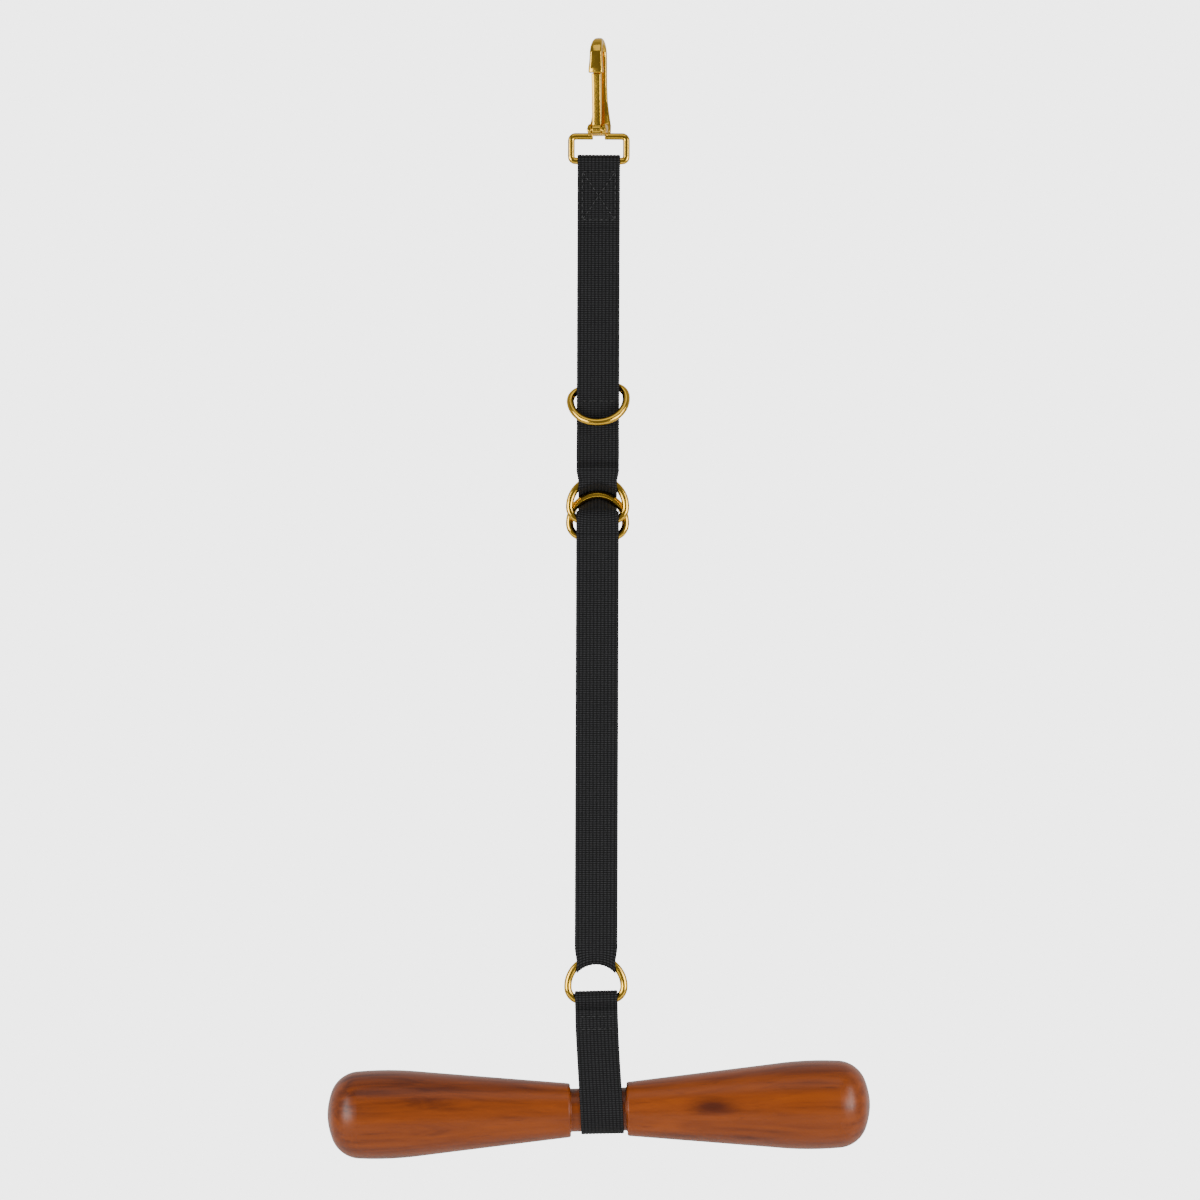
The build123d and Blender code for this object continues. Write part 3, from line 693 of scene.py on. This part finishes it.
# The snap hook's sections, each (depth, height, half width, half depth) in millimetres from its seat
HOOK_TIP = ((-8.5, -10.7, 4.2, 1.9), (-8.55, -9.9, 4.4, 2.2), (-8.6, -8, 4.3, 2.3), (-8.6, -4, 3.9, 2.2))
HOOK_SPINE = (
    (8.45, -4, 2.8, 2.1),
    (8.1, -10, 2.9, 2.1),
    (7.4, -18, 3.2, 2.1),
    (6.4, -27, 3.9, 2.1),
    (5.3, -35, 5.2, 2.2),
    (4.1, -41, 6.4, 2.3),
    (3.2, -45, 6.5, 2.2),
    (2.9, -46.8, 6.3, 1.9),
)
GATE_TOOTH = ((-5.4, -12.0, 2.3, 0.7), (-5.35, -9.5, 2.3, 0.7), (-5.3, -7.4, 2.2, 0.6))


def hook_crown():
    """Sections round the hook's top, which is narrowest at its highest point."""
    radius, narrow, half_deep = 8.6, 2.3, 2.1
    tip_flare, spine_flare = 1.4, 0.4
    sections = []
    for angle in np.radians(np.linspace(180, 0, 17)):
        forward, rise = math.cos(angle), math.sin(angle)
        flare = tip_flare * max(-forward, 0) + spine_flare * max(forward, 0)
        sections.append((radius * forward, radius * rise, narrow + flare, half_deep))
    return sections


def gate_leaf(pin_deep, pin_z):
    """Sections of the gate from its pin to its tip, a little bowed and waisted."""
    tip_deep, tip_z = -7.0, -10.9
    half_wide, half_deep = 2.85, 1.9
    bow, waist = 0.2, 0.1
    sections = []
    for share in np.linspace(0, 1, 14):
        bulge = math.sin(math.pi * share)
        depth = pin_deep + share * (tip_deep - pin_deep) + bow * bulge
        height = pin_z + share * (tip_z - pin_z)
        sections.append((depth, height, half_wide - waist * bulge, half_deep))
    return sections


def jaw(sections, across, deep, square):
    """Lofts through the sections in the jaw's plane."""
    line = np.array(sections) * MM
    ahead = np.gradient(line[:, :2], axis=0)
    ahead /= np.linalg.norm(ahead, axis=1)[:, None]
    centres = np.outer(line[:, 0], deep) + np.outer(line[:, 1], UP)
    outs = np.outer(-ahead[:, 1], deep) + np.outer(ahead[:, 0], UP)
    return tube(centres, [across] * len(line), outs, line[:, 2:], 32, square=square)


def ear(way, across, deep, pin_deep, pin_z):
    """One of the two ears that hold the pin, from its round front back into the spine."""
    front, back = pin_deep - 2.6, 3.0
    half_thick, half_tall = 1.25, 3.35
    apart, climb = 4.3, 0.12
    round_share, round_length = 0.30, 0.32
    least_round = 0.1
    centres, halves = [], []
    for share in np.linspace(0, 1, 9):
        depth = front + share * (back - front)
        roundness = 1 - (max(0, round_share - share) / round_length) ** 2
        tall = half_tall * math.sqrt(max(least_round, roundness))
        centres.append((deep * depth + UP * (pin_z + climb * share) + across * way * apart) * MM)
        halves.append((half_thick * MM, tall * MM))
    return tube(centres, [across] * len(centres), [UP] * len(centres), halves, 20, square=3.2)


def eye_wire():
    """The square eye's wire, open in the middle of its top between the ears."""
    right = (high("snap_body")[0] - low("snap_body")[0]) / 2 - EYE_WIRE_R - EYE_CORNER_R
    upper = EYE_Z + EYE_HIGH - EYE_CORNER_R
    lower = EYE_Z + EYE_CORNER_R
    line = [(EYE_GAP, EYE_Z + EYE_HIGH)]
    for x, z, start in ((right, upper, 90), (right, lower, 0), (-right, lower, -90), (-right, upper, -180)):
        for angle in np.radians(np.linspace(start, start - 90, 7)):
            line.append((x + EYE_CORNER_R * math.cos(angle), z + EYE_CORNER_R * math.sin(angle)))
    line.append((-EYE_GAP, EYE_Z + EYE_HIGH))
    line = np.array(line)
    ahead = np.gradient(line, axis=0)
    ahead /= np.linalg.norm(ahead, axis=1)[:, None]
    flat = np.zeros(len(line))
    centres = np.stack([line[:, 0], flat, line[:, 1]], axis=1)
    outs = np.stack([ahead[:, 1], flat, -ahead[:, 0]], axis=1)
    depths = [np.array([0, 1.0, 0])] * len(line)
    return tube(centres, outs, depths, [(EYE_WIRE_R, EYE_WIRE_R)] * len(line), 20)


def knuckle(pin, across, deep):
    """The gate's barrel round its pin, with its two rims eased."""
    centres = [pin + across * place_at * MM for place_at in (-2.8, -2.6, 2.6, 2.8)]
    halves = [(radius * MM, radius * MM) for radius in (2.5, 2.8, 2.8, 2.5)]
    return tube(centres, [deep] * 4, [UP] * 4, halves, 24)


def casting(name, shells, voxel, passes):
    """One polished casting from overlapping shells."""
    piece = make_piece(name, *joined(shells), material("brass"))
    faces_outwards(piece)
    fuse = piece.modifiers.new("cast", "REMESH")
    fuse.mode = "VOXEL"
    fuse.voxel_size = voxel
    polish = piece.modifiers.new("polish", "SMOOTH")
    polish.factor = 0.5
    polish.iterations = passes
    apply_modifiers(piece)
    shade_smooth(piece.data)
    return piece


def finish_node(node, look):
    """Gives a CAD node that stays in view its material."""
    mesh = frame["nodes"][node].data
    mesh.materials.clear()
    mesh.materials.append(material(look))


class PULL_OT_snap_hook(bpy.types.Operator):
    """Cast snap hook: jaw, ears and square eye in one, with its gate, pin and spring"""

    bl_idname = "pull.snap_hook"
    bl_label = "Snap hook"

    def execute(self, context):
        across = unit(np.array(mount("hook_seat")["axis"]))
        deep = np.array([-across[1], across[0], 0.0])
        pin = joint_place("gate_hinge")
        pin_deep, pin_z = pin.dot(deep) / MM, pin[2] / MM
        shells = [jaw([*HOOK_TIP, *hook_crown(), *HOOK_SPINE], across, deep, 3.4)]
        shells += [ear(way, across, deep, pin_deep, pin_z) for way in (-1, 1)]
        shells.append(eye_wire())
        place(casting("snap_hook_body", shells, 0.28 * MM, 6), "hook", "brass", "snap_body")
        shells = [
            jaw(gate_leaf(pin_deep, pin_z), across, deep, 4.5),
            knuckle(pin, across, deep),
            jaw(GATE_TOOTH, across, deep, 3.0),
        ]
        place(casting("snap_hook_gate", shells, 0.22 * MM, 4), "gate", "brass", "snap_gate")
        finish_node("snap_gate_pin", "brass")
        finish_node("snap_gate_spring", "spring")
        return {"FINISHED"}


# Webbing
class PULL_OT_webbing(bpy.types.Operator):
    """All the straps, woven in relief, each on the body that it moves with, save the middle length and the
    loop's two long plies, which are given no body
    """

    bl_idname = "pull.webbing"
    bl_label = "Webbing"

    def execute(self, context):
        sizes = context.scene.pull_webbing
        ply = sizes.ply
        step = ply + PLY_CLEAR
        roll = (high("adjuster_fold")[1] - REAR_RING[1]) - ply / 2
        end_back = 1 * MM

        def drop(reach, wrap):
            """How far below a bar the bend lies that stands reach to its side."""
            slack = 1.06
            return math.sqrt((slack * (wrap + BEND_R)) ** 2 - reach**2)

        # Hook strap over the eye's bar
        flap = 38.9 * MM
        eye_wrap = EYE_WIRE_R + WIRE_CLEAR + ply / 2
        reach = step / 2 + BEND_R
        bend_z = EYE_Z - drop(reach, eye_wrap)
        hook = [
            (-step / 2, EYE_Z - flap, 0),
            (-reach, bend_z, BEND_R),
            (0, EYE_Z, -eye_wrap),
            (reach, bend_z, BEND_R),
            (step / 2, low("hook_strap")[2], 0),
        ]
        woven_piece("hook_strap_woven", "upper_strap", "hook_strap", [woven(sizes, level(hook))])

        # Main strap's head, its roll tilted with the anchor ring's bar and drawn in at its edges
        draw_in = 0.3
        main_y = 1.5 * step
        slope = LEFT[2] / LEFT[0]
        head_low = low("main_strap_head")[2]
        reach = step - roll + BEND_R

        def head(x):
            top = ANCHOR[2] + x * slope
            return [
                (main_y, head_low, 0),
                (ANCHOR[1], top, -roll),
                (ANCHOR[1] + reach, top - drop(reach, roll), BEND_R),
                (main_y + step, head_low + end_back, 0),
            ]

        woven_piece(
            "main_strap_head_woven", "upper_strap", "main_strap_head",
            [woven(sizes, head, lambda share: draw_in * swell(share))],
        )

        # Adjuster weave: in front of one bow, behind the other, out over both bars
        front_y, rear_y = FRONT_RING[1], REAR_RING[1]
        front_bow = high("adjuster_ring_front")[2] - RING_WIRE / 2
        rear_bow = high("adjuster_ring_rear")[2] - RING_WIRE / 2
        front_bar = low("adjuster_ring_front")[2] + RING_WIRE / 2
        rear_bar = low("adjuster_ring_rear")[2] + RING_WIRE / 2
        shift = roll - RING_WIRE / 2 - 0.2 * MM - ply / 2
        bar_wrap = roll + ply + WIRE_CLEAR
        weave_top = high("main_strap_weave")[2]
        weave_end = low("main_strap_weave")[2]
        top_y = front_y - bow_wrap(hugged(WEB_WIDTH / 2), ply)

        def weave(x):
            h = hugged(x)
            return [
                (top_y, weave_top, 0),
                (front_y, front_bow - bow_fall(h), bow_wrap(h, ply)),
                (rear_y, rear_bow - bow_fall(h), -bow_wrap(h, ply)),
                (front_y, front_bar + shift, bar_wrap),
                (front_y - bar_wrap, weave_end, 0),
            ]

        woven_piece(
            "main_strap_weave_woven", "adjuster", "main_strap_weave",
            [woven(sizes, weave, lambda share: eased(share / 0.14) * eased((1 - share) / 0.3))],
        )

        # Middle length, between the anchor and the adjuster
        mid_top, mid_low = high("main_strap_mid")[2], low("main_strap_mid")[2]
        mid_r = 2 * MM
        lap, inset = 0.1 * MM, 0.4 * MM
        middle = [
            (main_y, mid_top + lap, 0),
            (main_y - mid_r, mid_top - inset, -mid_r),
            (top_y + mid_r, mid_low + inset, mid_r),
            (top_y, mid_low - lap, 0),
        ]
        mid = woven_piece("main_strap_middle_woven", None, "main_strap_mid", [woven(sizes, level(middle))])
        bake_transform(mid)

        # Fold round both bars, with its sewn tail
        seam = rear_bar - 14 * MM
        rear_ply = rear_y + roll
        fold_low = low("adjuster_fold")[2]
        fold = [
            (rear_ply, fold_low, 0),
            (rear_y, rear_bar + shift, roll),
            (front_y, front_bar + shift, roll),
            (rear_ply - step - BEND_R, seam, -BEND_R),
            (rear_ply - step, fold_low + end_back, 0),
        ]
        woven_piece("adjuster_fold_woven", "adjuster", "adjuster_fold", [woven(sizes, level(fold))])

        # The loop's two long plies and the saddle under the lower ring's bow
        saddle_top = high("main_strap_saddle")[2]
        saddle_y = bow_wrap(0.0, ply)
        for node, y, top in (
            ("main_strap_front", front_y - bar_wrap, weave_end),
            ("main_strap_rear", rear_ply, fold_low),
        ):
            line = [(y, top, 0), (math.copysign(saddle_y, y), saddle_top, 0)]
            piece = woven_piece(f"{node}_woven", None, node, [woven(sizes, level(line))])
            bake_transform(piece)

        def saddle(x):
            h = hugged(x)
            return [
                (-saddle_y, saddle_top, 0),
                (0, BOW_Z + RING_HALF - bow_fall(h), bow_wrap(h, ply)),
                (saddle_y, saddle_top, 0),
            ]

        woven_piece(
            "main_strap_saddle_woven", "lower_loop", "main_strap_saddle",
            [woven(sizes, saddle, lambda share: eased(np.minimum(share, 1 - share) / 0.3))],
        )

        # Neck loop, drawn straight and turned with the lower group
        roll_z = BOW_Z - BAR_DROP + shift
        bend_z = roll_z - 7.8 * MM
        seam_low = NECK_SEAM_TOP - 13 * MM
        grip_z = BOW_Z - np.linalg.norm((GRIP - np.array([0, 0, BOW_Z]))[[0, 2]])
        neck_wrap = NECK_R + WIRE_CLEAR + ply / 2
        half_bend = BEND_R / 2
        round_ring = [
            (0, seam_low, 0),
            (-half_bend, bend_z, half_bend),
            (0, roll_z, -roll),
            (step + half_bend, bend_z, half_bend),
            (step, seam_low, 0),
        ]
        round_neck = [
            (-step, NECK_SEAM_TOP, 0),
            (-step - BEND_R, seam_low, -BEND_R),
            (0, grip_z, neck_wrap),
            (step + BEND_R, seam_low, -BEND_R),
            (step, NECK_SEAM_TOP - 4 * MM, 0),
        ]
        lengths = []
        for line, lean in ((round_ring, 0.0), (round_neck, 2 * MM)):
            points, faces, uv = woven(sizes, level(line), aside=lambda share: lean * swell(share))
            lengths.append((lower_group(points), faces, uv))
        woven_piece("neck_loop_woven", "neck_loop", "neck_loop", lengths)
        return {"FINISHED"}


class PULL_OT_stitching(bpy.types.Operator):
    """Rows of single stitches: box and cross at the hook, rows at the rings and the neck loop"""

    bl_idname = "pull.stitching"
    bl_label = "Stitching"

    def execute(self, context):
        sizes = context.scene.pull_webbing
        side = WEB_WIDTH / 2 - 3 * MM
        inset = 0.25 * MM
        front, back = (0, -1, 0), (0, 1, 0)

        def seam_rows(node, y, outward, crossed):
            """Rows along a seam's bottom and top, and its sides and diagonals where it is crossed."""
            bottom, top = low(node)[2] + inset, high(node)[2] - inset
            rows = [((-side, y, z), (side, y, z), outward) for z in (bottom, top)]
            if crossed:
                rows += [((x, y, bottom), (x, y, top), outward) for x in (-side, side)]
                rows += [((-side, y, a), (side, y, b), outward) for a, b in ((bottom, top), (top, bottom))]
            return rows

        seams = (
            ("hook_box", "upper_strap", "hook_stitching", high, front, True),
            ("anchor_rows", "upper_strap", "anchor_stitching", high, front, False),
            ("adjuster_rows", "adjuster", "adjuster_stitching", low, back, False),
        )
        for name, body, node, face, outward, crossed in seams:
            rows = seam_rows(node, face(node)[1], outward, crossed)
            stitches(f"{name}_stitching", body, node, sizes, rows)
        neck_y = high("neck_stitching")[1]
        heights = (NECK_SEAM_TOP - 4 * MM, NECK_SEAM_TOP - 11.5 * MM)
        rows = [((-side, neck_y, z), (side, neck_y, z), front) for z in heights]
        stitches("neck_rows_stitching", "neck_loop", "neck_stitching", sizes, rows, lower_group)
        return {"FINISHED"}


class PULL_OT_handle(bpy.types.Operator):
    """Turned double-ended grip"""

    bl_idname = "pull.handle"
    bl_label = "Handle"

    def execute(self, context):
        finish_node("handle", "wood")
        return {"FINISHED"}


# Stage
def area_light(name, place_at, aim, size, power):
    """A rectangular softbox that faces the aim."""
    data = bpy.data.lights.new(name, "AREA")
    data.shape = "RECTANGLE"
    data.size, data.size_y = size
    data.energy = power
    lamp = bpy.data.objects.new(name, data)
    bpy.context.scene.collection.objects.link(lamp)
    lamp.location = place_at
    x, y, z = np.array(aim) - np.array(place_at)
    lamp.rotation_euler = (math.atan2(math.hypot(x, y), -z), 0, math.atan2(-x, y))


class PULL_OT_stage(bpy.types.Operator):
    """Pale floor, bright studio surroundings, soft side lights and the camera"""

    bl_idname = "pull.stage"
    bl_label = "Stage"

    def execute(self, context):
        scene = context.scene
        middle = (0.0016, 0.0, -0.321)
        view_high = 0.708
        lens, sensor = 180.0, 36.0
        camera_data = bpy.data.cameras.new("camera")
        camera_data.lens = lens
        camera_data.sensor_width = sensor
        camera = bpy.data.objects.new("camera", camera_data)
        scene.collection.objects.link(camera)
        camera.location = (middle[0], -view_high * lens / sensor, middle[2])
        camera.rotation_euler = (math.pi / 2, math.radians(-0.2), 0)
        scene.camera = camera

        floor_z = -0.92
        deselect()
        bpy.ops.mesh.primitive_circle_add(vertices=96, radius=1.0, fill_type="NGON", location=(0, 0, floor_z))
        floor = context.object
        floor.name = "floor"
        paint, tree, shader = new_material("pale floor")
        feed(tree, shader, {"Base Color": (0.88, 0.88, 0.87, 1), "Roughness": 0.7})
        floor.data.materials.append(paint)

        world = bpy.data.worlds.new("studio")
        scene.world = world
        world.use_nodes = True
        tree = world.node_tree
        tree.nodes.clear()
        heading = tree.nodes.new("ShaderNodeTexCoord").outputs["Generated"]
        split = add_node(tree, "ShaderNodeSeparateXYZ", {"Vector": heading})
        inputs = {"Value": split.outputs["Y"], "From Min": -1}
        ahead = add_node(tree, "ShaderNodeMapRange", inputs).outputs["Result"]
        greys = ((0.0, 0.20), (0.34, 0.24), (0.60, 0.50), (1.0, 1.0))
        glow = colour_ramp(tree, ahead, *((position, (grey, grey, grey, 1)) for position, grey in greys))
        around = add_node(tree, "ShaderNodeBackground", {"Color": glow, "Strength": 0.9})
        behind = add_node(tree, "ShaderNodeBackground", {"Color": (1, 1, 1, 1), "Strength": 4.0})
        inputs = {
            "Fac": tree.nodes.new("ShaderNodeLightPath").outputs["Is Camera Ray"],
            1: around.outputs["Background"],
            2: behind.outputs["Background"],
        }
        seen = add_node(tree, "ShaderNodeMixShader", inputs).outputs["Shader"]
        add_node(tree, "ShaderNodeOutputWorld", {"Surface": seen})

        for way in (-1, 1):
            area_light("side softbox", (way * 1.30, -0.75, -0.20), middle, (0.35, 1.3), 10)
            area_light("end softbox", (way * 1.20, -1.25, -0.45), middle, (0.80, 0.85), 13)
        area_light("top softbox", (0, -0.9, 1.1), middle, (1.4, 0.9), 4)
        return {"FINISHED"}


class PULL_PT_panel(bpy.types.Panel):
    """Sizes, colours and the pieces of the pull handle"""

    bl_label = "Pull Handle"
    bl_idname = "PULL_PT_panel"
    bl_space_type = "VIEW_3D"
    bl_region_type = "UI"
    bl_category = "Pull Handle"

    def draw(self, context):
        for group in (context.scene.pull_webbing, context.scene.pull_colours):
            box = self.layout.box()
            for name in group.bl_rna.properties.keys():
                if name not in ("rna_type", "name"):
                    box.prop(group, name)
        for operator in OPERATORS:
            self.layout.operator(operator.bl_idname)


OPERATORS = (
    PULL_OT_webbing,
    PULL_OT_stitching,
    PULL_OT_rings,
    PULL_OT_snap_hook,
    PULL_OT_handle,
    PULL_OT_stage,
)
CLASSES = (WebbingSizes, Colours, *OPERATORS, PULL_PT_panel)


def register():
    for cls in CLASSES:
        bpy.utils.register_class(cls)
    bpy.types.Scene.pull_webbing = PointerProperty(type=WebbingSizes)
    bpy.types.Scene.pull_colours = PointerProperty(type=Colours)


def unregister():
    del bpy.types.Scene.pull_colours
    del bpy.types.Scene.pull_webbing
    for cls in reversed(CLASSES):
        bpy.utils.unregister_class(cls)


def main():
    register()
    for operator in OPERATORS:
        group, name = operator.bl_idname.split(".")
        getattr(getattr(bpy.ops, group), name)()


if __name__ == "__main__":
    main()
